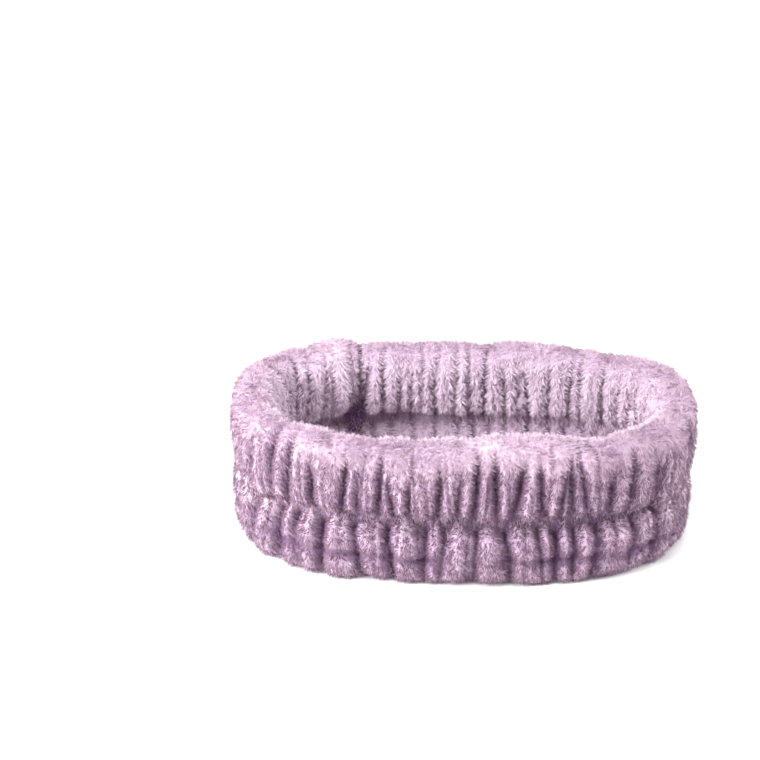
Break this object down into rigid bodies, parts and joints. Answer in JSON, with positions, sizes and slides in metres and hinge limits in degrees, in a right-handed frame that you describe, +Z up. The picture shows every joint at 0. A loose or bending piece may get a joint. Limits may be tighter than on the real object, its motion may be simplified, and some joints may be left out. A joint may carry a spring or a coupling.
{
  "type": "spa headband",
  "caption": "Gathered coral-fleece spa headband: a puffy upper and lower roll on a hidden elastic, joined end to end, that stretches open over the head.",
  "frame": {"origin": "middle of the ring, on the surface the headband stands on", "axes": "+X along the ring's width, +Y from its front to its back, +Z up along the head"},
  "size_m": [0.2198, 0.111, 0.076],
  "materials": {
    "fleece": "lilac coral fleece, soft pile",
    "elastic": "white woven elastic",
    "thread": "lilac polyester thread"
  },
  "bodies": {
    "front_span": {"cover_front": "fleece", "elastic_front": "elastic", "upper_casing_row_front": "thread", "lower_casing_row_front": "thread", "closing_seam_front": "thread"},
    "back_span": {"cover_back": "fleece", "elastic_back": "elastic", "upper_casing_row_back": "thread", "lower_casing_row_back": "thread", "closing_seam_back": "thread", "cross_seam": "thread", "elastic_join": "thread"},
    "left_end": {"cover_left_end": "fleece", "elastic_left_end": "elastic", "upper_casing_row_left_end": "thread", "lower_casing_row_left_end": "thread", "closing_seam_left_end": "thread"},
    "right_end": {"cover_right_end": "fleece", "elastic_right_end": "elastic", "upper_casing_row_right_end": "thread", "lower_casing_row_right_end": "thread", "closing_seam_right_end": "thread"}
  },
  "joints": [
    {"name": "stretch", "type": "slide", "parent": "front_span", "child": "back_span", "axis": [0, 1, 0], "range_m": [0, 0.105], "stiffness_N_per_m": 120},
    {"name": "left_follow", "type": "slide", "parent": "front_span", "child": "left_end", "axis": [0, 1, 0], "range_m": [0, 0.0525]},
    {"name": "right_follow", "type": "slide", "parent": "front_span", "child": "right_end", "axis": [0, 1, 0], "range_m": [0, 0.0525]}
  ],
  "couplings": [
    {"joint": "left_follow", "follows": "stretch", "ratio": 0.5},
    {"joint": "right_follow", "follows": "stretch", "ratio": 0.5}
  ]
}
